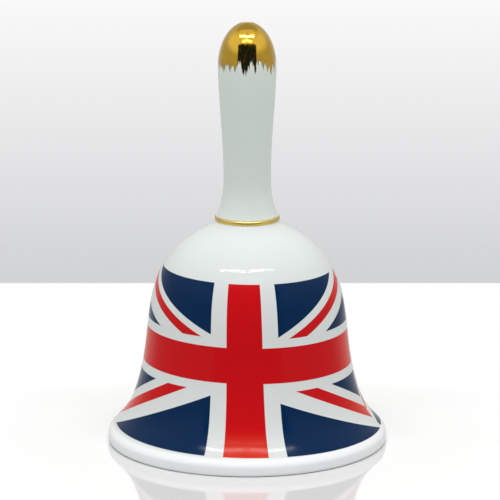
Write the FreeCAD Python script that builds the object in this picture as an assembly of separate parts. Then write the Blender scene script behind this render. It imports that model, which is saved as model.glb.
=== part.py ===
import FreeCAD, Part
import math
import os

# Porcelain hand bell: a slip-cast shell standing on its lip, a hollow handle luted to its
# crown, and a bead clapper on a wire chain that hangs from a staple cemented in the crown.
# Millimetres, +Z up. The origin is the centre of the resting ring, and -Y is the front.

# Overall size
HEIGHT = 120.0
LIP_R = 39.5
NECK_Z = 65.0  # the shell ends and the handle begins here

# Shell
WALL = 2.6
LIP_WALL = 3.4
FOOT_IN_R = 36.9  # the bell stands on the flat ring between these two radii
FOOT_OUT_R = 38.6
LIP_BAND_Z = 2.4  # the outside of the lip is upright below this height
CEILING_Z = 60.3
CEILING_R = 8.0  # the ceiling is flat inside this radius
BORE_R = 3.0  # the vent hole through the crown, which the plug fills
LINE_R = 9.15  # a raised line runs round the neck
LINE_Z = 64.4
LINE_LOW = (8.95, 63.85)
LINE_TOP_R = 8.8

# Outline of the skirt between the lip band and the neck line, as (radius, height)
SKIRT = [
    (38.2, 4.5),
    (35.0, 8.0),
    (31.0, 17.0),
    (29.0, 27.0),
    (27.7, 38.0),
    (25.5, 47.0),
    (21.45, 54.0),
    (14.3, 60.0),
    (10.3, 62.45),
]

# Handle
HANDLE_WALL = 2.2
HANDLE_FOOT_R = 8.6
HANDLE_CAVITY_R = 6.3
DOME_Z = 107.6  # the dome springs from here
DOME_R = 8.2

# Outline of the handle between its foot and its dome, as (radius, height)
GRIP = [
    (7.65, 67.7),
    (6.9, 71.2),
    (6.62, 76.5),
    (6.9, 85.0),
    (7.54, 95.0),
]

# Staple and plug
STAPLE_WIRE_R = 0.55
STAPLE_BEND_R = 1.5
STAPLE_LOW_Z = 55.0  # centre of the wire at the bottom of the bend
STAPLE_TOP_Z = 63.6
PLUG_TOP_Z = 64.4
PLUG_SKIRT_R = 4.3  # the cement spreads a little way over the ceiling
PLUG_SKIRT_H = 0.9
PLUG_SKIRT_MIDDLE = (4.0, 59.75)

# Chain
WIRE_R = 0.45
LINK_BEND_R = 1.35
LINK_LENGTH = 6.2  # between the wire's centres at the two ends
LINK_COUNT = 6
LINK_SEAM = 0.12  # the cut ends of a link's wire butt together
PLAY = 0.05  # between two wires that hang in each other

# Clapper
BALL_R = 7.2
BALL_Z = 13.6
BALL_HOLE_R = 0.6
BALL_FLAT_R = 1.5  # the bead is ground flat round its hole
EYE_TURN_DEG = 335.0  # the pin's eye stops just short of a full turn
PIN_HEAD_R = 1.3
PIN_HEAD_H = 0.7

# Directions in which outlines leave and arrive, as (radius, height)
UPRIGHT = (0, 1)
INWARD = (-1, 0)
SHOULDER_RISE = (-1, 2)
FOOT_RISE = (-0.5, 1)

AXIS = FreeCAD.Vector(0, 0, 1)
ORIGIN = FreeCAD.Vector(0, 0, 0)


def point(r, z):
    """A point of an outline, in the XZ plane."""
    return FreeCAD.Vector(r, 0, z)


def line(a, b):
    return Part.LineSegment(point(*a), point(*b)).toShape()


def arc(a, middle, b):
    return Part.Arc(point(*a), point(*middle), point(*b)).toShape()


def round_arc(centre, radius, start_deg, turn_deg):
    """An arc about centre that starts at start_deg and turns anticlockwise by turn_deg."""
    ends = []
    for share in (0, 0.5, 1):
        angle = math.radians(start_deg + share * turn_deg)
        ends.append((centre[0] + radius * math.cos(angle), centre[1] + radius * math.sin(angle)))
    return arc(*ends)


def curve(points, first, last):
    """A smooth curve through points, leaving along first and arriving along last."""
    spline = Part.BSplineCurve()
    spline.interpolate(
        Points=[point(*p) for p in points],
        InitialTangent=point(*first).normalize(),
        FinalTangent=point(*last).normalize(),
        Scale=False,
    )
    return spline


def inset(spline, points, depth):
    """Points of an upward spline, moved in from the surface by depth."""
    moved = []
    for place in points:
        at = spline.parameter(point(*place))
        here = spline.value(at)
        along = spline.tangent(at)[0]
        moved.append((here.x - depth * along.z, here.z + depth * along.x))
    return moved


def dome(radius, top_z):
    """A quarter ellipse from the axis at top_z down to the dome's spring."""
    ellipse = Part.Ellipse(point(0, top_z), point(radius, DOME_Z), point(0, DOME_Z))
    return Part.ArcOfEllipse(ellipse, 0, math.pi / 2).toShape()


def turned(edges):
    """The solid swept by a closed outline that turns about the bell's axis."""
    return Part.Face(Part.Wire(edges)).revolve(ORIGIN, AXIS, 360)


def bent_wire(edges, radius):
    """A round wire of that radius along a path of edges that run smoothly into each other."""
    path = Part.Wire(edges)
    first = edges[0]
    start = first.FirstParameter
    section = Part.makeCircle(radius, first.valueAt(start), first.tangentAt(start))
    return path.makePipeShell([Part.Wire(section)], True, False)


def quarter_turned(shape):
    """The shape turned from the XZ plane into the YZ plane."""
    copy = shape.copy()
    copy.rotate(ORIGIN, AXIS, 90)
    return copy


def make_bell_shell():
    outer_round = LIP_R - FOOT_OUT_R
    inner_r = LIP_R - LIP_WALL
    inner_round = FOOT_IN_R - inner_r
    skirt = curve([(LIP_R, LIP_BAND_Z)] + SKIRT + [LINE_LOW], UPRIGHT, SHOULDER_RISE)
    inside_points = inset(skirt, SKIRT[1:], WALL)
    inside = curve([(inner_r, inner_round)] + inside_points + [(CEILING_R, CEILING_Z)], UPRIGHT, INWARD)
    return turned([
        line((FOOT_IN_R, 0), (FOOT_OUT_R, 0)),
        round_arc((FOOT_OUT_R, outer_round), outer_round, 270, 90),
        line((LIP_R, outer_round), (LIP_R, LIP_BAND_Z)),
        skirt.toShape(),
        arc(LINE_LOW, (LINE_R, LINE_Z), (LINE_TOP_R, NECK_Z)),
        line((LINE_TOP_R, NECK_Z), (BORE_R, NECK_Z)),
        line((BORE_R, NECK_Z), (BORE_R, CEILING_Z)),
        line((BORE_R, CEILING_Z), (CEILING_R, CEILING_Z)),
        inside.toShape(),
        round_arc((FOOT_IN_R, inner_round), inner_round, 180, 90),
    ])


def make_handle():
    grip = curve([(HANDLE_FOOT_R, NECK_Z)] + GRIP + [(DOME_R, DOME_Z)], FOOT_RISE, UPRIGHT)
    cavity_r = DOME_R - HANDLE_WALL
    cavity_top = HEIGHT - HANDLE_WALL
    inside_points = inset(grip, GRIP, HANDLE_WALL)
    inside_outline = [(HANDLE_CAVITY_R, NECK_Z)] + inside_points + [(cavity_r, DOME_Z)]
    inside = curve(inside_outline, FOOT_RISE, UPRIGHT)
    return turned([
        line((HANDLE_CAVITY_R, NECK_Z), (HANDLE_FOOT_R, NECK_Z)),
        grip.toShape(),
        dome(DOME_R, HEIGHT),
        line((0, HEIGHT), (0, cavity_top)),
        dome(cavity_r, cavity_top),
        inside.toShape(),
    ])


def make_staple():
    bend_z = STAPLE_LOW_Z + STAPLE_BEND_R
    return quarter_turned(bent_wire([
        line((-STAPLE_BEND_R, STAPLE_TOP_Z), (-STAPLE_BEND_R, bend_z)),
        round_arc((0, bend_z), STAPLE_BEND_R, 180, 180),
        line((STAPLE_BEND_R, bend_z), (STAPLE_BEND_R, STAPLE_TOP_Z)),
    ], STAPLE_WIRE_R))


def make_plug(staple):
    """The cement that fills the crown's bore, cast round the staple's legs."""
    low_z = CEILING_Z - PLUG_SKIRT_H
    plug = turned([
        line((0, low_z), (BORE_R, low_z)),
        arc((BORE_R, low_z), PLUG_SKIRT_MIDDLE, (PLUG_SKIRT_R, CEILING_Z)),
        line((PLUG_SKIRT_R, CEILING_Z), (BORE_R, CEILING_Z)),
        line((BORE_R, CEILING_Z), (BORE_R, PLUG_TOP_Z)),
        line((BORE_R, PLUG_TOP_Z), (0, PLUG_TOP_Z)),
        line((0, PLUG_TOP_Z), (0, low_z)),
    ])
    return plug.cut(staple)


def make_link(top_z):
    """One chain link, hanging in the XZ plane from top_z, the centre of its wire at the top."""
    low_z = top_z - LINK_LENGTH
    upper = top_z - LINK_BEND_R
    lower = low_z + LINK_BEND_R
    middle = (top_z + low_z) / 2
    return bent_wire([
        line((LINK_BEND_R, middle + LINK_SEAM / 2), (LINK_BEND_R, upper)),
        round_arc((0, upper), LINK_BEND_R, 0, 180),
        line((-LINK_BEND_R, upper), (-LINK_BEND_R, lower)),
        round_arc((0, lower), LINK_BEND_R, 180, 180),
        line((LINK_BEND_R, lower), (LINK_BEND_R, middle - LINK_SEAM / 2)),
    ], WIRE_R)


def make_ball():
    flat_z = math.sqrt(BALL_R ** 2 - BALL_FLAT_R ** 2)
    low = BALL_Z - flat_z
    high = BALL_Z + flat_z
    return turned([
        line((BALL_HOLE_R, low), (BALL_FLAT_R, low)),
        arc((BALL_FLAT_R, low), (BALL_R, BALL_Z), (BALL_FLAT_R, high)),
        line((BALL_FLAT_R, high), (BALL_HOLE_R, high)),
        line((BALL_HOLE_R, high), (BALL_HOLE_R, low)),
    ])


def make_pin(eye_top_z):
    """A headed pin through the bead, its top bent into an eye in the XZ plane."""
    eye_z = eye_top_z - LINK_BEND_R
    eye_low_z = eye_z - LINK_BEND_R
    under_ball = BALL_Z - math.sqrt(BALL_R ** 2 - BALL_FLAT_R ** 2)
    eye = bent_wire([round_arc((0, eye_z), LINK_BEND_R, 270, EYE_TURN_DEG)], WIRE_R)
    shank = Part.makeCylinder(WIRE_R, eye_low_z - under_ball, point(0, under_ball))
    head = Part.makeCylinder(PIN_HEAD_R, PIN_HEAD_H, point(0, under_ball - PIN_HEAD_H))
    return eye.fuse([shank, head]).removeSplitter()


def hanging_points():
    """The centre of each wire that the next piece hangs on, from the staple downwards."""
    pitch = LINK_LENGTH - WIRE_R * 2 - PLAY
    first_gap = STAPLE_WIRE_R - WIRE_R  # the staple's wire is a little thicker
    return [STAPLE_LOW_Z] + [STAPLE_LOW_Z + first_gap - pitch * n for n in range(1, LINK_COUNT + 1)]


def make_all():
    staple = make_staple()
    nodes = {
        "bell_shell": make_bell_shell(),
        "handle": make_handle(),
        "crown_plug": make_plug(staple),
        "crown_staple": staple,
        "clapper_ball": make_ball(),
    }
    pivots = hanging_points()
    for n, pivot in enumerate(pivots):
        wire_above = STAPLE_WIRE_R if n == 0 else WIRE_R
        top_z = pivot + wire_above + PLAY + WIRE_R
        if n == LINK_COUNT:
            nodes["clapper_pin"] = make_pin(top_z)
        else:
            link = make_link(top_z)
            nodes[f"chain_link_{n + 1}"] = link if n % 2 == 0 else quarter_turned(link)
    print("pivot heights:", [round(p, 3) for p in pivots])
    return nodes


os.makedirs("parts", exist_ok=True)
for name, shape in make_all().items():
    assert shape.isValid() and len(shape.Solids) == 1, name
    shape.Solids[0].exportStep(f"parts/{name}.step")
    box = shape.BoundBox
    print(f"{name}: {shape.Volume:.1f} mm3, z {box.ZMin:.2f} to {box.ZMax:.2f}")
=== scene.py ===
import math
import random

import bpy
from mathutils import Matrix, Vector, noise


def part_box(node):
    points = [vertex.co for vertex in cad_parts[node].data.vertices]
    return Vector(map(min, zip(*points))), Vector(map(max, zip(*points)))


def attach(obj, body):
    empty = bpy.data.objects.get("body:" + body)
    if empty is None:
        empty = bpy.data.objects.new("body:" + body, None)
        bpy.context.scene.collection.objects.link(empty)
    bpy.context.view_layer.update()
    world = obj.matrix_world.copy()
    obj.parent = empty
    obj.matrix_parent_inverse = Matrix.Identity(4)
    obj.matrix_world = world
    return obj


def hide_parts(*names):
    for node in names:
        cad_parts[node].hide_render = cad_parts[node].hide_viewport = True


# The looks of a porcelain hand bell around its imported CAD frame. The shell carries a fired
# transfer of a flag, front and rear, the handle has a brushed gold cap, and a gold line runs
# round the neck. Metres, with +Z up and -Y the front. Materials work in millimetres.

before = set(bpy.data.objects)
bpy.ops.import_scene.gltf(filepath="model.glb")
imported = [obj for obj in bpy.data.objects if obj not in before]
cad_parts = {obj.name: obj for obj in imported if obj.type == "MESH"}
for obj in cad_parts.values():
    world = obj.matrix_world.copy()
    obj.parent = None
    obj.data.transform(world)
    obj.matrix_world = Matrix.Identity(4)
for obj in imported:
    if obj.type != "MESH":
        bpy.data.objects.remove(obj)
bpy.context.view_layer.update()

MM = 0.001
SHELL_STEPS = 256  # points round a ring of each piece
HANDLE_STEPS = 192
PLUG_STEPS = 96
BEAD_STEPS = 144

# Outside of the shell, in millimetres
NECK_LINE_Z = 63.75  # the gold line runs from here to the handle
FOOT_Z = 0.05  # the bare foot ring lies below this height
LIP_Z = 4.7  # the lip below the print is painted a paler, colder white, standing in for light thrown up by the floor
HANDLE_GILT_Z = 65.12  # the handle's foot is gilt with the line below this height

# The flag transfer. Heights are in millimetres, azimuths in degrees from the front (-Y)
# towards +X. A pair is a value in degrees at the foot and its gain per millimetre of height,
# and a diagonal edge is its height at the flag's centre and its rise per degree away from it.
FLAG_TOP = 50.65
FLAG_BOTTOM = 5.0
BAR_LOW = 23.8
BAR_TOP = 33.6
FIELD_LOW = 36.1  # lower edge of the blue above the bar
FIELD_TOP = 21.3  # upper edge of the blue below the bar
POST_HALF = (9.6, 0.016)  # half the width of the upright red bar
FIELD_HALF = (17.4, 0.055)  # from the centre to the upright edges of the blue
FLAG_LEAN = (-0.44, -0.033)  # azimuth of the flag's centre
FLAG_TILT = 0.42  # the print sinks by this much from the front to the right side
REAR_AZIMUTH = 168.6  # middle of the rear transfer at the foot
REAR_LEAN = 0.075  # degrees per mm by which the rear transfer leans away from the seam
REAR_START = (-86.5, 0.275)  # the rear transfer's left edge, from its own middle
NO_EDGE = -180.0  # an azimuth that no point is beyond
SEAM_RIGHT = 84.7  # where the two transfers meet
SEAM_LEFT = -105.0
SEAM_GAP = 0.5  # degrees of bare glaze at a seam
QUARTERS = {
    # (side, up): field edge, red top, red bottom, red flat cut, small field edge
    (-1, 1): ((32.9, 0.213), (30.76, 0.2146), (27.79, 0.2194), 36.2, (26.25, 0.175)),
    (1, 1): ((31.35, 0.252), (29.51, 0.2396), (26.78, 0.2361), 35.7, (23.9, 0.225)),
    (-1, -1): ((24.55, -0.227), (33.46, -0.2533), (29.73, -0.2452), 21.7, (36.0, -0.25)),
    (1, -1): ((22.11, -0.213), (31.4, -0.25), (27.83, -0.2452), 21.0, (33.77, -0.2444)),
}
EDGE_SOFT = 0.12  # how far a level or slanted edge bleeds, in millimetres
UPRIGHT_SOFT = 0.25  # how far an upright edge bleeds, in degrees
HARD = 0.01  # degrees, for a switch between two parts of a formula

# The brushed lower edge of the gold cap. At the front its strokes are (azimuth, height), and
# at the rear they are random.
CAP_SEED = 11
CAP_MEAN = 109.2
CAP_REACH = 5.0  # every stroke ends within this height of the mean
CAP_REAR = (80.0, 276.0)  # azimuths of the random strokes
CAP_STROKES = [
    (-80, 108.8), (-68, 107.6), (-60, 108.6), (-52, 107.5), (-41, 109.4), (-35, 107.2),
    (-30, 109.7), (-24, 107.4), (-19, 109.9), (-14, 110.1), (-9, 106.5), (0, 107.8),
    (7, 109.2), (11, 110.5), (16, 107.2), (20, 109.9), (28, 109.8), (33, 107.9),
    (38, 109.3), (43, 107.0), (48, 108.9), (54, 106.3), (60, 108.8), (66, 106.9),
    (73, 108.5),
]

# Colours, linear. A pair is a material's darker and paler shade.
WHITE_GLAZE = (0.735, 0.77, 0.75)
# the handle's white, tinted green as painted light
HANDLE_GLAZE_PAINTED_GREEN = (0.76, 0.83, 0.765)
# the lip's paler, colder white is painted light from the floor
LIP_GLAZE_PAINTED_LIGHT = (0.90, 0.915, 0.92)
RED = (0.62, 0.007, 0.010)
RED_PAINTED_REFLECTION = (0.70, 0.035, 0.006)  # the red turned orange by a painted reflection of the white surroundings, at the sides of a transfer and on the flare
BLUE = (0.0008, 0.022, 0.080)
GOLD = (0.78, 0.45, 0.010)
GOLD_THIN = (0.34, 0.27, 0.10)
GOLD_LINE = (0.82, 0.62, 0.17)
INSIDE_GLAZE = (0.78, 0.79, 0.76), (0.84, 0.855, 0.83)
INSIDE_SPECK = (0.30, 0.24, 0.18)
BISCUIT = (0.62, 0.60, 0.55), (0.76, 0.74, 0.70)
FOOT_WEAR = (0.42, 0.40, 0.37)
CEMENT = (0.50, 0.48, 0.43), (0.72, 0.70, 0.65)
# painted shade in the cement's pits
CEMENT_PIT_PAINTED_SHADE = (0.28, 0.26, 0.23)
BRASS = (0.78, 0.54, 0.20)
TARNISH = (0.42, 0.24, 0.08)
BEAD_GLAZE = (0.74, 0.72, 0.66), (0.82, 0.81, 0.76)
BEAD_SPECK = (0.25, 0.18, 0.12)

GLAZE_SPECULAR = 0.1  # low, so that the inks keep their depth in the white tent


# ---------------------------------------------------------------- numbers made by nodes


class Field:
    """A number that varies over a surface. Arithmetic on it adds Math nodes."""

    def __init__(self, tree, socket):
        self.tree = tree
        self.socket = socket

    def math(self, operation, *others, clamp=False):
        node = self.tree.nodes.new("ShaderNodeMath")
        node.operation = operation
        node.use_clamp = clamp
        for plug, value in zip(node.inputs, (self, *others)):
            feed(self.tree, plug, value)
        return Field(self.tree, node.outputs[0])

    def __add__(self, other):
        return self.math("ADD", other)

    def __sub__(self, other):
        return self.math("SUBTRACT", other)

    def __mul__(self, other):
        return self.math("MULTIPLY", other)

    def __neg__(self):
        return self.math("MULTIPLY", -1.0)

    def __abs__(self):
        return self.math("ABSOLUTE")

    def above(self, edge, soft):
        """1 where this is above the edge and 0 below it, over a soft width."""
        return (self - edge).math("MULTIPLY_ADD", 1.0 / soft, 0.5, clamp=True)

    def below(self, edge, soft):
        return (self - edge).math("MULTIPLY_ADD", -1.0 / soft, 0.5, clamp=True)

    def scaled(self, low, high, new_low, new_high):
        """This field with low to high stretched over new_low to new_high, and held past them."""
        node = self.tree.nodes.new("ShaderNodeMapRange")
        feed(self.tree, node.inputs["Value"], self)
        for name, value in zip(("From Min", "From Max", "To Min", "To Max"),
                               (low, high, new_low, new_high)):
            node.inputs[name].default_value = value
        return Field(self.tree, node.outputs["Result"])

    def spread(self, low, high):
        """Noise, which lies mostly from 0.3 to 0.7, stretched over low to high."""
        return self.scaled(0.3, 0.7, low, high)


def feed(tree, plug, value):
    """Connects a field or a socket to an input, or sets the input's own value."""
    if isinstance(value, Field):
        tree.links.new(value.socket, plug)
    elif isinstance(value, bpy.types.NodeSocket):
        tree.links.new(value, plug)
    else:
        plug.default_value = value


def all_of(first, *rest):
    for field in rest:
        first = first.math("MINIMUM", field)
    return first


def any_of(first, *rest):
    for field in rest:
        first = first.math("MAXIMUM", field)
    return first


def choose(share, when_0, when_1):
    """A number that is when_0 where share is 0 and when_1 where it is 1."""
    node = share.tree.nodes.new("ShaderNodeMix")
    feed(share.tree, node.inputs[0], share)
    feed(share.tree, node.inputs[2], when_0)
    feed(share.tree, node.inputs[3], when_1)
    return Field(share.tree, node.outputs[0])


def blend_colour(share, when_0, when_1, clamp=True):
    """A colour chosen as choose does. Without clamp, a share past 1 goes on past when_1."""
    node = share.tree.nodes.new("ShaderNodeMix")
    node.data_type = "RGBA"
    node.clamp_factor = clamp
    feed(share.tree, node.inputs[0], share)
    for plug, value in zip(node.inputs[6:8], (when_0, when_1)):
        feed(share.tree, plug, (*value, 1.0) if isinstance(value, tuple) else value)
    return node.outputs[2]


def mottled(share, colour, darkest):
    """The colour where share is 1, going to darkest times it where share is 0."""
    return blend_colour(share, tuple(darkest * c for c in colour), colour)


class Surface:
    """A new material, with the position on the piece in millimetres as fields."""

    def __init__(self, name):
        self.material = bpy.data.materials.new(name)
        self.material.use_nodes = True
        self.tree = self.material.node_tree
        self.shader = self.tree.nodes["Principled BSDF"]
        coordinates = self.tree.nodes.new("ShaderNodeTexCoord")
        self.place = self.scale_vector(coordinates.outputs["Object"], 1.0 / MM)
        split = self.tree.nodes.new("ShaderNodeSeparateXYZ")
        self.tree.links.new(self.place, split.inputs[0])
        self.x, self.y, self.z = (Field(self.tree, socket) for socket in split.outputs)
        self.azimuth = self.x.math("ARCTAN2", -self.y) * math.degrees(1.0)

    def scale_vector(self, vector, factor):
        node = self.tree.nodes.new("ShaderNodeVectorMath")
        node.operation = "MULTIPLY"
        self.tree.links.new(vector, node.inputs[0])
        factors = factor if isinstance(factor, tuple) else (factor,) * 3
        node.inputs[1].default_value = factors
        return node.outputs[0]

    def grain(self, size, detail=2.0, stretch=(1, 1, 1), seed=0.0):
        """Noise from 0 to 1 with lumps of about this size in millimetres."""
        node = self.tree.nodes.new("ShaderNodeTexNoise")
        node.noise_dimensions = "4D"
        vector = self.scale_vector(self.place, tuple(1.0 / s for s in stretch))
        self.tree.links.new(vector, node.inputs["Vector"])
        node.inputs["W"].default_value = seed
        node.inputs["Scale"].default_value = 1.0 / size
        node.inputs["Detail"].default_value = detail
        return Field(self.tree, node.outputs["Fac"])

    def cells(self, size):
        """Distance to the nearest of scattered points, in units of their spacing."""
        node = self.tree.nodes.new("ShaderNodeTexVoronoi")
        self.tree.links.new(self.place, node.inputs["Vector"])
        node.inputs["Scale"].default_value = 1.0 / size
        return Field(self.tree, node.outputs["Distance"])

    def relief(self, height_mm):
        """Bumps the surface by a height in millimetres."""
        node = self.tree.nodes.new("ShaderNodeBump")
        node.inputs["Strength"].default_value = 1.0
        node.inputs["Distance"].default_value = MM
        feed(self.tree, node.inputs["Height"], height_mm)
        self.tree.links.new(node.outputs[0], self.shader.inputs["Normal"])

    def set(self, **values):
        """Sets or links sockets of the shader, named with _ for a space."""
        for name, value in values.items():
            plug = self.shader.inputs[name.replace("_", " ")]
            feed(self.tree, plug, (*value, 1.0) if isinstance(value, tuple) else value)


# ---------------------------------------------------------------- the flag


def flag_masks(surface):
    """(red, blue, away): where the two inks of the transfers lie, from 0 to 1, and the
    azimuth away from the nearer transfer's middle."""
    azimuth, z = surface.azimuth, surface.z
    past_left = azimuth.below(SEAM_LEFT, HARD)
    past_right = azimuth.above(SEAM_RIGHT, HARD)
    rear = past_right + past_left
    # Azimuth from the middle of whichever transfer the point is on
    local = azimuth - rear * REAR_AZIMUTH + past_left * 360.0 - rear * z * REAR_LEAN
    across = local - (z * FLAG_LEAN[1] + FLAG_LEAN[0])
    up = z + (azimuth * math.radians(1.0)).math("SINE") * FLAG_TILT
    away = abs(across)
    rightward = across.above(0.0, HARD)

    reds, blues = [], []
    post = away.below(z * POST_HALF[1] + POST_HALF[0], UPRIGHT_SOFT)
    bar = all_of(up.above(BAR_LOW, EDGE_SOFT), up.below(BAR_TOP, EDGE_SOFT))
    beyond_field = away.above(z * FIELD_HALF[1] + FIELD_HALF[0], UPRIGHT_SOFT)
    reds += [post, bar]
    for upward in (1, -1):
        left, right = QUARTERS[-1, upward], QUARTERS[1, upward]

        def line(index):
            """Height of a diagonal edge, which differs a little from left to right."""
            base = choose(rightward, left[index][0], right[index][0])
            rise = choose(rightward, left[index][1], right[index][1])
            return base + away * rise

        flat_cut = choose(rightward, left[3], right[3])
        field_edge, red_top, red_bottom, small_edge = line(0), line(1), line(2), line(4)
        red_band = all_of(z.below(red_top, EDGE_SOFT), z.above(red_bottom, EDGE_SOFT))
        if upward == 1:
            reds.append(all_of(red_band, z.above(flat_cut, EDGE_SOFT)))
            blues.append(all_of(z.above(field_edge, EDGE_SOFT), beyond_field))
            blues.append(all_of(z.below(small_edge, EDGE_SOFT), up.above(FIELD_LOW, EDGE_SOFT)))
        else:
            reds.append(all_of(red_band, z.below(flat_cut, EDGE_SOFT)))
            blues.append(all_of(z.below(field_edge, EDGE_SOFT), beyond_field))
            blues.append(all_of(z.above(small_edge, EDGE_SOFT), up.below(FIELD_TOP, EDGE_SOFT)))
    gap = SEAM_GAP / 2.0
    start = choose(past_right, NO_EDGE, z * REAR_START[1] + REAR_START[0])
    whole = all_of(
        across.above(start, UPRIGHT_SOFT),
        up.above(FLAG_BOTTOM, EDGE_SOFT),
        up.below(FLAG_TOP, EDGE_SOFT),
        abs(azimuth - SEAM_RIGHT).above(gap, UPRIGHT_SOFT),
        abs(azimuth - SEAM_LEFT).above(gap, UPRIGHT_SOFT),
    )
    return all_of(any_of(*reds), whole), all_of(any_of(*blues), whole), away


# ---------------------------------------------------------------- materials


def glaze_height(surface, amount=1.0):
    """Relief of a fired glaze in millimetres: slow orange peel and a few pinholes."""
    slow = surface.grain(6.0, detail=1.0, seed=1.0)
    fine = surface.grain(0.9, detail=2.0, seed=2.0)
    return slow * (0.012 * amount) + fine * (0.0012 * amount)


def gold_parts(surface, solid, seed):
    """(colour, roughness, relief) of brushed gold lustre. solid is 1 where it is thick."""
    streak = surface.grain(0.55, detail=3.0, stretch=(1, 1, 9), seed=seed)
    cloud = surface.grain(3.5, detail=2.0, seed=seed + 1.0)
    thick = solid * streak.scaled(0.3, 0.55, 0.75, 1.0) * cloud.scaled(0.2, 0.6, 0.85, 1.0)
    colour = blend_colour(thick, GOLD_THIN, GOLD)
    roughness = cloud.spread(0.04, 0.09) + streak.scaled(0.45, 0.75, 0.0, 0.12)
    specks = surface.cells(0.9).below(0.16, 0.14)
    return colour, roughness, streak * 0.004 + cloud * 0.010 - specks * 0.006


def decorated_glaze():
    """Outside of the shell: white glaze, the printed flag and the gold neck line."""
    surface = Surface("decorated_glaze")
    red, blue, away = flag_masks(surface)
    ink = any_of(red, blue)
    gold = surface.z.above(NECK_LINE_Z, 0.12)
    tone = surface.grain(14.0, detail=2.0, seed=5.0)
    print_grain = surface.grain(0.35, detail=1.0, seed=6.0)

    colour = mottled(tone, WHITE_GLAZE, 0.975)
    # Painted light: the lip below the print is paler and colder, as if lit by the white floor.
    colour = blend_colour(surface.z.below(LIP_Z, 0.6), colour, LIP_GLAZE_PAINTED_LIGHT)
    ink_wear = print_grain.scaled(0.25, 0.75, 0.0, 1.0)
    red_ink = mottled(ink_wear, RED, 0.92)
    blue_ink = mottled(ink_wear, BLUE, 0.86)
    # Painted reflection: the red turns orange towards the sides of each transfer and low on the
    # flare, where the white tent and floor would be mirrored.
    painted_reflection_sides = away.scaled(58.0, 82.0, 0.0, 0.9)
    painted_reflection_flare = surface.z.scaled(12.0, 6.0, 0.0, 0.7)
    painted_reflection = any_of(painted_reflection_sides, painted_reflection_flare)
    red_ink = blend_colour(painted_reflection, red_ink, RED_PAINTED_REFLECTION)
    colour = blend_colour(red, colour, red_ink)
    colour = blend_colour(blue, colour, blue_ink)
    line_wear = surface.grain(0.8, detail=3.0, seed=20.0)
    line_colour = mottled(line_wear, GOLD_LINE, 0.8)
    colour = blend_colour(gold, colour, line_colour)

    glaze_roughness = tone.spread(0.03, 0.05)
    ink_roughness = print_grain.spread(0.13, 0.19)
    roughness = choose(ink, glaze_roughness, ink_roughness)
    surface.set(
        Base_Color=colour,
        Metallic=gold,
        Roughness=choose(gold, roughness, line_wear.spread(0.27, 0.36)),
        Specular_IOR_Level=GLAZE_SPECULAR,
    )
    film = ink * 0.018 + gold * 0.02
    surface.relief(glaze_height(surface) + film + print_grain * ink * 0.0015)
    return surface.material


def inside_glaze():
    """Inside of the shell: plain glaze, a little creamier, with runs towards the lip."""
    surface = Surface("inside_glaze")
    runs = surface.grain(7.0, detail=2.0, stretch=(1, 1, 5), seed=8.0)
    specks = surface.cells(9.0).below(0.035, 0.02)
    colour = blend_colour(runs, *INSIDE_GLAZE)
    colour = blend_colour(specks * 0.5, colour, INSIDE_SPECK)
    surface.set(
        Base_Color=colour,
        Roughness=runs.spread(0.08, 0.14),
        Specular_IOR_Level=GLAZE_SPECULAR,
    )
    surface.relief(glaze_height(surface, 1.4) + runs * 0.05)
    return surface.material


def bare_foot():
    """The foot ring, wiped clean of glaze: fine matt biscuit with a little grey wear."""
    surface = Surface("bare_foot")
    grit = surface.grain(0.25, detail=4.0, seed=9.0)
    wear = surface.grain(5.0, detail=3.0, seed=10.0)
    colour = blend_colour(grit, *BISCUIT)
    colour = blend_colour(wear.scaled(0.55, 0.75, 0.0, 0.5), colour, FOOT_WEAR)
    surface.set(Base_Color=colour, Roughness=grit.spread(0.62, 0.85))
    surface.relief(grit * 0.03)
    return surface.material


def cap_edge(surface):
    """Height of the gold cap's lower edge round the handle, in millimetres."""
    draw = random.Random(CAP_SEED)
    strokes = list(CAP_STROKES)
    azimuth, rear_end = CAP_REAR
    short = True
    while azimuth < rear_end:
        height = CAP_MEAN + (draw.uniform(0.4, 1.6) if short else -draw.uniform(0.6, 2.9))
        strokes.append((azimuth if azimuth <= 180.0 else azimuth - 360.0, height))
        azimuth += draw.uniform(5.0, 9.0)
        short = not short
    strokes.sort()
    # A curve node holds the edge, with the azimuth and the height both scaled to 0 to 1.
    node = surface.tree.nodes.new("ShaderNodeFloatCurve")
    curve = node.mapping.curves[0]
    low, high = CAP_MEAN - CAP_REACH, CAP_MEAN + CAP_REACH
    first_height = strokes[0][1]
    points = [(-180.0, first_height), *strokes, (180.0, first_height)]
    while len(curve.points) < len(points):
        curve.points.new(0.5, 0.5)
    for point, (degrees, height) in zip(curve.points, points):
        point.location = ((degrees + 180.0) / 360.0, (height - low) / (high - low))
        point.handle_type = "VECTOR"
    node.mapping.update()
    feed(surface.tree, node.inputs["Value"], surface.azimuth.scaled(-180.0, 180.0, 0.0, 1.0))
    share = Field(surface.tree, node.outputs["Value"])
    return share.scaled(0.0, 1.0, low, high)


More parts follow.
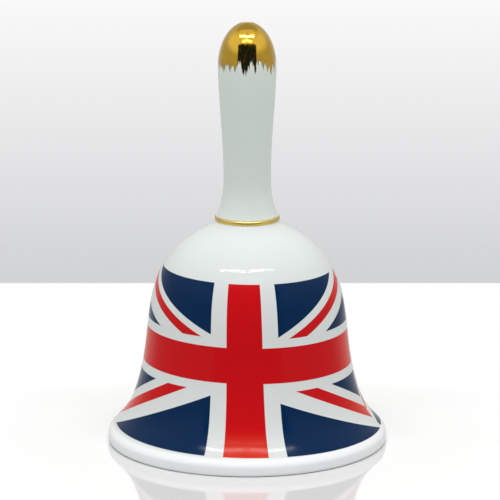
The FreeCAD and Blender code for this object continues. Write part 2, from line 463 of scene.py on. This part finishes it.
def handle_glaze():
    """The handle: white glaze with a painted greenish tint of the light on it, fading towards
    its foot, and the brushed gold cap.
    """
    surface = Surface("handle_glaze_gold")
    streak = surface.grain(0.35, detail=3.0, stretch=(1, 1, 9), seed=12.0)
    edge = cap_edge(surface) + streak.spread(-1.3, 1.0)
    gold = surface.z.above(edge, 0.9)
    solid = surface.z.above(edge + 0.5, 1.8)
    foot_line = surface.z.below(HANDLE_GILT_Z, 0.1)
    gold = any_of(gold, foot_line)
    solid = any_of(solid, foot_line)

    tone = surface.grain(11.0, detail=2.0, seed=13.0)
    # The handle's glaze carries a painted greenish tint of the light falling on it; the tint
    # fades out towards its foot.
    colour = mottled(tone, HANDLE_GLAZE_PAINTED_GREEN, 0.97)
    near_foot = surface.z.scaled(66.0, 100.0, 1.0, 0.0)
    colour = blend_colour(near_foot * 0.5, colour, WHITE_GLAZE)
    gold_colour, gold_roughness, gold_relief = gold_parts(surface, solid, 14.0)
    colour = blend_colour(gold, colour, gold_colour)
    surface.set(
        Base_Color=colour,
        Metallic=gold,
        Roughness=choose(gold, tone.spread(0.04, 0.07), gold_roughness),
        Specular_IOR_Level=GLAZE_SPECULAR,
        Coat_Weight=gold * 0.8,
        Coat_Roughness=0.03,
    )
    surface.relief(glaze_height(surface) + gold * 0.012 + gold * gold_relief)
    return surface.material


def cement():
    """The plug: off-white cement, gritty and pitted, with painted shade in its pits."""
    surface = Surface("cement_daub")
    grit = surface.grain(0.3, detail=5.0, seed=30.0)
    pits = surface.cells(0.8).below(0.18, 0.12)
    colour = blend_colour(grit, *CEMENT)
    # Painted shade: the pits are darkened.
    colour = blend_colour(pits * 0.7, colour, CEMENT_PIT_PAINTED_SHADE)
    surface.set(Base_Color=colour, Roughness=grit.spread(0.75, 0.95))
    surface.relief(grit * 0.08 - pits * 0.08)
    return surface.material


def brass():
    """Drawn brass wire: fine draw lines and brown tarnish in patches."""
    surface = Surface("brass_drawn_wire")
    tarnish = surface.grain(1.6, detail=4.0, seed=40.0)
    lines = surface.grain(0.12, detail=1.0, stretch=(1, 1, 6), seed=41.0)
    patch = tarnish.scaled(0.45, 0.65, 0.0, 1.0)
    colour = blend_colour(patch, BRASS, TARNISH)
    surface.set(
        Base_Color=colour,
        Metallic=1.0,
        Roughness=patch.scaled(0.0, 1.0, 0.20, 0.42) + lines * 0.08,
    )
    surface.relief(lines * 0.01)
    return surface.material


def bead_glaze():
    """The clapper bead: ivory glaze with small specks."""
    surface = Surface("bead_ivory_glaze")
    tone = surface.grain(4.0, detail=2.0, seed=50.0)
    specks = surface.cells(2.4).below(0.05, 0.03)
    colour = blend_colour(tone, *BEAD_GLAZE)
    colour = blend_colour(specks * 0.6, colour, BEAD_SPECK)
    surface.set(
        Base_Color=colour,
        Roughness=tone.spread(0.07, 0.16),
        Specular_IOR_Level=GLAZE_SPECULAR,
    )
    surface.relief(glaze_height(surface, 0.8))
    return surface.material


# ---------------------------------------------------------------- turned pieces

SEAM_TOLERANCE = 2e-6  # metres from the seam plane
TINY = 1e-7  # metres: a smaller radius is on the axis, and a smaller depth is at the floor
NEAR_AXIS = 1e-6  # metres: no vertex nearer to the axis is moved
CORNER = math.radians(20.0)  # an outline that turns by more than this has a corner there
SHARP_EDGE = math.radians(40.0)  # a mesh edge that turns by more is shaded sharp


def seam_outline(node):
    """A turned CAD node's outline in its seam plane, as (radius, z) pairs in order, and
    whether it is a closed loop. An open one starts at its highest point on the axis."""
    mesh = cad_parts[node].data
    seam = {
        v.index: (round(v.co.x, 6) + 0.0, round(v.co.z, 6) + 0.0)
        for v in mesh.vertices
        if abs(v.co.y) < SEAM_TOLERANCE and v.co.x > -SEAM_TOLERANCE
    }
    near = {}
    for edge in mesh.edges:
        a, b = (seam.get(i) for i in edge.vertices)
        if a is not None and b is not None and a != b:
            near.setdefault(a, set()).add(b)
            near.setdefault(b, set()).add(a)
    ends = [p for p, others in near.items() if len(others) == 1]
    start = max(ends, key=lambda p: p[1]) if ends else min(near, key=lambda p: (p[1], -p[0]))
    second = max(near[start])
    path, seen = [start, second], {start, second}
    while True:
        onward = [p for p in near[path[-1]] if p not in seen]
        if not onward:
            return path, not ends
        path.append(onward[0])
        seen.add(onward[0])


def refined(path, closed, longest):
    """The outline through the same points with extra ones on a smooth curve between them.
    Corners stay sharp."""
    count = len(path)
    points = [Vector(p) for p in path]

    def turn(i):
        if not closed and i in (0, count - 1):
            return math.pi
        before = points[i] - points[i - 1]
        after = points[(i + 1) % count] - points[i]
        return before.angle(after)

    def slope(i, chord):
        """Direction of the curve at a point, for the span that has this chord."""
        if turn(i) > CORNER:
            return chord.normalized()
        before = points[i] - points[i - 1]
        after = points[(i + 1) % count] - points[i]
        weighted = before / before.length_squared + after / after.length_squared
        return weighted.normalized()

    result = []
    for i in range(count if closed else count - 1):
        a, b = points[i], points[(i + 1) % count]
        chord = b - a
        steps = max(1, math.ceil(chord.length / longest))
        start_slope, end_slope = slope(i, chord), slope((i + 1) % count, chord)
        for k in range(steps):
            t = k / steps
            h = chord.length
            result.append(
                a * (2 * t**3 - 3 * t**2 + 1)
                + start_slope * h * (t**3 - 2 * t**2 + t)
                + b * (3 * t**2 - 2 * t**3)
                + end_slope * h * (t**3 - t**2)
            )
    if not closed:
        result.append(points[-1])
    return result


def turned_mesh(name, outline, closed, steps, shift):
    """A mesh turned from an outline of (radius, z). shift(point) moves each vertex a little,
    as clay and glaze do. Points on the axis become one vertex."""
    # A smoothed foot may dip a hair below the floor, at z = 0, so it is held level.
    lowest = min(z for _, z in outline if z > -TINY)
    vertices, rings = [], []
    for radius, z in outline:
        z = max(z, lowest)
        if radius < TINY:
            rings.append([len(vertices)])
            vertices.append(Vector((0, 0, z)))
            continue
        ring = []
        for k in range(steps):
            angle = 2 * math.pi * k / steps
            ring.append(len(vertices))
            vertices.append(Vector((radius * math.sin(angle), -radius * math.cos(angle), z)))
        rings.append(ring)
    faces, spans = [], []
    pairs = list(zip(rings, rings[1:])) + ([(rings[-1], rings[0])] if closed else [])
    for span, (a, b) in enumerate(pairs):
        for k in range(steps):
            n = (k + 1) % steps
            if len(a) == 1:
                faces.append((a[0], b[n], b[k]))
            elif len(b) == 1:
                faces.append((a[k], a[n], b[0]))
            else:
                faces.append((a[k], a[n], b[n], b[k]))
            spans.append(span)
    mesh = bpy.data.meshes.new(name)
    mesh.from_pydata([v + shift(v) for v in vertices], [], faces)
    mesh.validate()
    mesh.shade_smooth()
    mesh.set_sharp_from_angle(angle=SHARP_EDGE)
    piece = bpy.data.objects.new(name, mesh)
    bpy.context.scene.collection.objects.link(piece)
    return piece, spans


def fade(value, start, end):
    """0 before start and 1 after end, smoothly."""
    t = min(1.0, max(0.0, (value - start) / (end - start)))
    return t * t * (3 - 2 * t)


def unevenness(point, size, amount):
    """Signed distance that cast clay and glaze stray from a true turned surface."""
    return noise.noise(point / size) * amount


def shell_shift(point):
    """The slip-cast wall wanders, but not at the foot, the bore or the handle's seat."""
    radius = math.hypot(point.x, point.y)
    hold = (
        fade(point.z, 0.5 * MM, 5.0 * MM)
        * fade(radius, 6.0 * MM, 12.0 * MM)
        * (1.0 - fade(point.z, 59.0 * MM, 62.5 * MM))
    )
    stray = unevenness(point, 22 * MM, 0.12 * MM) + unevenness(point, 9 * MM, 0.03 * MM)
    return Vector((point.x, point.y, 0)).normalized() * stray * hold


def handle_shift(point):
    """The handle wanders too, but not at its foot or at the very top."""
    hold = fade(point.z, 65.2 * MM, 69.0 * MM)
    stray = unevenness(point, 16 * MM, 0.10 * MM) + unevenness(point, 5 * MM, 0.02 * MM)
    outward = Vector((point.x, point.y, 0))
    if outward.length < NEAR_AXIS:
        return Vector()
    return outward.normalized() * stray * hold * fade(outward.length, 0.0, 3.0 * MM)


def plug_shift(point):
    """The cement is daubed in by hand: its skirt is lumpy."""
    outward = Vector((point.x, point.y, 0))
    low = 1.0 - fade(point.z, 59.9 * MM, 60.3 * MM)
    if outward.length < NEAR_AXIS:
        return Vector()
    lump = unevenness(point, 1.3 * MM, 0.28 * MM)
    return (outward.normalized() * lump * 0.8 - Vector((0, 0, abs(lump)))) * low


bead_low, bead_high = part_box("clapper_ball")
BEAD_CENTRE = (bead_low + bead_high) / 2


def bead_shift(point):
    """The bead is out of round, but not at its bore."""
    outward = point - BEAD_CENTRE
    hold = fade(math.hypot(point.x, point.y), 1.2 * MM, 3.0 * MM)
    return outward.normalized() * unevenness(point, 5 * MM, 0.07 * MM) * hold


def make_turned(name, node, longest, steps, shift, materials, body, pick=None):
    """A finer turned piece in place of a turned CAD node. longest is the outline's longest
    span in millimetres, and pick lists each span's material for an outline."""
    path, closed = seam_outline(node)
    outline = refined(path, closed, longest * MM)
    piece, spans = turned_mesh(name, outline, closed, steps, shift)
    for material in materials:
        piece.data.materials.append(material)
    if pick:
        choice = pick(outline)
        piece.data.polygons.foreach_set("material_index", [choice[s] for s in spans])
    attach(piece, body)
    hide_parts(node)


def shell_materials(outline):
    """For each span of the shell's closed outline: 0 outside, 1 inside and 2 on the foot.
    It runs up the outside and comes back down the inside."""
    top = max(range(len(outline)), key=lambda i: (outline[i][1], outline[i][0]))
    choice = []
    for i, (a, b) in enumerate(zip(outline, outline[1:] + outline[:1])):
        on_foot = (a[1] + b[1]) / 2 < FOOT_Z * MM
        choice.append(2 if on_foot else 0 if i < top else 1)
    return choice


make_turned(
    "porcelain_shell", "bell_shell", 0.6, SHELL_STEPS, shell_shift,
    [decorated_glaze(), inside_glaze(), bare_foot()], "bell", shell_materials,
)
make_turned(
    "porcelain_handle", "handle", 0.8, HANDLE_STEPS, handle_shift, [handle_glaze()],
    "bell",
)
make_turned(
    "cement_plug", "crown_plug", 0.2, PLUG_STEPS, plug_shift, [cement()], "bell"
)
make_turned(
    "clapper_bead", "clapper_ball", 0.35, BEAD_STEPS, bead_shift, [bead_glaze()],
    "clapper",
)
brass_wire = brass()
for name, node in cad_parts.items():
    if name.startswith("chain_link") or name in ("crown_staple", "clapper_pin"):
        node.data.materials.clear()
        node.data.materials.append(brass_wire)


# ---------------------------------------------------------------- floor, lights, camera

MIDDLE_Z = 60.0 * MM  # half the bell's height
FLOOR_REACH = 0.1855  # half the side of the square floor, whose far edge is the horizon
FLOOR_DROP = 0.02 * MM  # keeps the floor's face clear of the foot's
FLOOR_WHITE = (0.735, 0.735, 0.735)
CAMERA_DISTANCE = 1.0  # from the bell's middle
CAMERA_PITCH = math.radians(12.91)  # how far above the bell's middle it stands
CAMERA_LENS = 255.9
CAMERA_AIM = Vector((0.78 * MM, 0.0, 54.9 * MM))
STRIP_LIGHTS = {
    # Start and end in metres, width in metres, watts
    "top_strip_left": ((-0.02, -0.46, 0.96), (-0.66, -0.40, 1.22), 0.08, 4.6),
    "top_strip_right": ((0.02, -0.46, 0.96), (0.66, -0.40, 1.22), 0.08, 4.6),
    "front_strip": ((-0.4, -0.70, 0.95), (0.4, -0.70, 0.95), 0.10, 0.9),
}


def make_floor():
    mesh = bpy.data.meshes.new("floor")
    r = FLOOR_REACH
    corners = [(-r, -r), (r, -r), (r, r), (-r, r)]
    mesh.from_pydata([(x, y, -FLOOR_DROP) for x, y in corners], [], [(0, 1, 2, 3)])
    floor = bpy.data.objects.new("floor", mesh)
    bpy.context.scene.collection.objects.link(floor)
    surface = Surface("white_acrylic")
    sheen = surface.grain(60.0, detail=1.0, seed=60.0)
    surface.set(Base_Color=FLOOR_WHITE, Roughness=sheen.spread(0.06, 0.09))
    mesh.materials.append(surface.material)


def strip_light(name, start, end, width, watts):
    """A strip lamp along the line from start to end, turned to face the bell's middle."""
    start, end = Vector(start), Vector(end)
    middle = (start + end) / 2
    along = (end - start).normalized()
    back = middle - Vector((0.0, 0.0, MIDDLE_Z))
    back = (back - along * back.dot(along)).normalized()
    data = bpy.data.lights.new(name, "AREA")
    data.shape = "RECTANGLE"
    data.size = (end - start).length
    data.size_y = width
    data.energy = watts
    light = bpy.data.objects.new(name, data)
    bpy.context.scene.collection.objects.link(light)
    turned = Matrix((along, back.cross(along), back)).transposed()
    light.matrix_world = Matrix.Translation(middle) @ turned.to_4x4()
    light.visible_camera = False


# The tent around the bell. Azimuths are in degrees to either side of the front, elevations in
# degrees, and a brightness of 1 is white. Each ring of it is (brightness at the front,
# brightness at the back, azimuth of the change, width of the change).
TENT = (1.0, 1.01, 0.995)
LOW_RING = (0.5, 0.6, 140.0, 40.0)
HIGH_RING = (0.95, 0.55, 120.0, 50.0)
ROOF = (0.84, 0.45, 100.0, 30.0)
HIGH_RING_FROM, ROOF_FROM, RING_SOFT = 20.0, 48.0, 12.0
# A bright panel behind the bell, so low that only the floor mirrors it
PANEL_AZIMUTH, PANEL_LOW, PANEL_TOP, PANEL_LEVEL = 174.5, 7.0, 22.0, 1.55
# The dark opening at the front, which the gold cap mirrors
OPENING_HALF_WIDTH = 0.62  # along X, at a distance of 1
OPENING_LOW, OPENING_TOP = -17.0, 42.0
OPENING_SHOULDER = 9.0  # how far its top corners are rounded down
ROOM_DARK = (0.010, 0.022, 0.07)
ROOM_THINGS = (0.10, 0.045, 0.045)
# The backdrop that the camera sees, shaded between two heights of its line of sight
CARD_LOW, CARD_TOP = -0.2338, -0.1594  # along Z, at a distance of 1
CARD_DARK = (0.645, 0.65, 0.665)
CARD_PALE = (0.95, 0.948, 0.955)


def make_world():
    """A white tent with a dark opening at the front, and a plain pale grey backdrop."""
    world = bpy.data.worlds.new("tent")
    bpy.context.scene.world = world
    world.use_nodes = True
    tree = world.node_tree
    background = tree.nodes["Background"]
    coordinates = tree.nodes.new("ShaderNodeTexCoord")
    split = tree.nodes.new("ShaderNodeSeparateXYZ")
    tree.links.new(coordinates.outputs["Generated"], split.inputs[0])
    x, y, z = (Field(tree, socket) for socket in split.outputs)
    azimuth = abs(x.math("ARCTAN2", -y)) * math.degrees(1.0)
    elevation = z.math("ARCSINE") * math.degrees(1.0)
    arch = (x * (1.0 / OPENING_HALF_WIDTH)).math("POWER", 4.0) * OPENING_SHOULDER
    opening = all_of(
        y.below(0.0, 0.02),
        abs(x).below(OPENING_HALF_WIDTH, 0.04),
        (elevation + arch).below(OPENING_TOP, 3.0),
        elevation.above(OPENING_LOW, 3.0),
    )
    low_ring, high_ring, roof = (
        choose(azimuth.above(change, soft), front, back)
        for front, back, change, soft in (LOW_RING, HIGH_RING, ROOF)
    )
    level = choose(elevation.above(HIGH_RING_FROM, RING_SOFT), low_ring, high_ring)
    level = choose(elevation.above(ROOF_FROM, RING_SOFT), level, roof)
    back_panel = all_of(
        azimuth.above(PANEL_AZIMUTH, 1.5),
        elevation.above(PANEL_LOW, 2.0),
        elevation.below(PANEL_TOP, 3.0),
    )
    level = choose(back_panel, level, PANEL_LEVEL)
    tent = blend_colour(level, (0.0, 0.0, 0.0), TENT, clamp=False)
    clutter = tree.nodes.new("ShaderNodeTexNoise")
    clutter.inputs["Scale"].default_value = 9.0
    tree.links.new(coordinates.outputs["Generated"], clutter.inputs["Vector"])
    things = Field(tree, clutter.outputs["Fac"]).scaled(0.56, 0.68, 0.0, 1.0)
    room = blend_colour(things, ROOM_DARK, ROOM_THINGS)
    tent = blend_colour(opening, tent, room)
    card = z.scaled(CARD_LOW, CARD_TOP, 0.0, 1.0)
    backdrop = blend_colour(card, CARD_DARK, CARD_PALE)
    seen = Field(tree, tree.nodes.new("ShaderNodeLightPath").outputs["Is Camera Ray"])
    tree.links.new(blend_colour(seen, tent, backdrop), background.inputs["Color"])
    background.inputs["Strength"].default_value = 1.0


def make_camera():
    data = bpy.data.cameras.new("camera")
    data.lens = CAMERA_LENS
    data.clip_start = 0.05
    data.clip_end = 20.0
    camera = bpy.data.objects.new("camera", data)
    bpy.context.scene.collection.objects.link(camera)
    camera.location = (
        0.0,
        -CAMERA_DISTANCE * math.cos(CAMERA_PITCH),
        MIDDLE_Z + CAMERA_DISTANCE * math.sin(CAMERA_PITCH),
    )
    camera.rotation_mode = "QUATERNION"
    camera.rotation_quaternion = (CAMERA_AIM - camera.location).to_track_quat("-Z", "Y")
    bpy.context.scene.camera = camera


make_floor()
for name, strip in STRIP_LIGHTS.items():
    strip_light(name, *strip)
make_world()
make_camera()
bpy.context.scene.view_settings.view_transform = "Standard"
